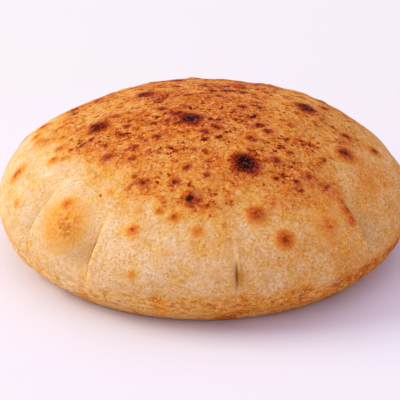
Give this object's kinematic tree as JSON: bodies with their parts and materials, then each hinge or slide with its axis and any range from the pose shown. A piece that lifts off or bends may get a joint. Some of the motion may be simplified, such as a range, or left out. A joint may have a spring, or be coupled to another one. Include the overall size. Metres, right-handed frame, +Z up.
{
  "type": "baladi bread",
  "caption": "Round puffed flatbread with a low toasted dome, pleated pale sides and a rough golden rim, resting on its flat underside.",
  "frame": {"origin": "Middle of the flat foot on the surface that the loaf rests on", "axes": "+Z up through the crown of the dome; -Y towards the side with the narrow straight pleat"},
  "size_m": [0.162, 0.1614, 0.0596],
  "materials": {
    "baked_crust": "dry matt baked crust, cream dough toasted golden brown with dark blisters"
  },
  "bodies": {
    "root": {"baladi_bread": "baked_crust"}
  },
  "joints": []
}
